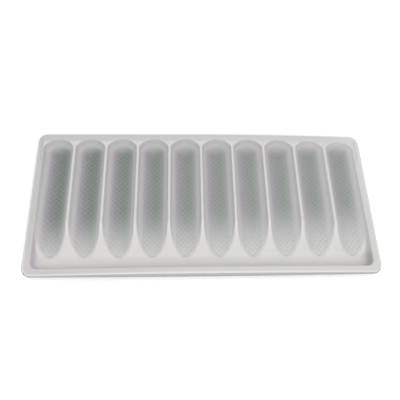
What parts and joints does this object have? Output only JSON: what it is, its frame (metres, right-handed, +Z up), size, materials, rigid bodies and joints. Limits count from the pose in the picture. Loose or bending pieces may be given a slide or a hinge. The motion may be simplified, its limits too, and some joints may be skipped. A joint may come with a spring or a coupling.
{
  "type": "thermoformed plastic tray",
  "caption": "Shallow formed-sheet food tray: a row of half-round pockets open down a ramp into a long trough, inside a flat rim with a turned-down edge",
  "frame": {"origin": "centre of the tray's outline, on the table under the pockets", "axes": "+X along the trough and across the pockets, +Y from the trough to the pockets' closed ends, +Z up"},
  "size_m": [0.26, 0.117, 0.0135],
  "materials": {
    "tray": "satin"
  },
  "bodies": {
    "root": {"tray": "tray"}
  },
  "joints": []
}
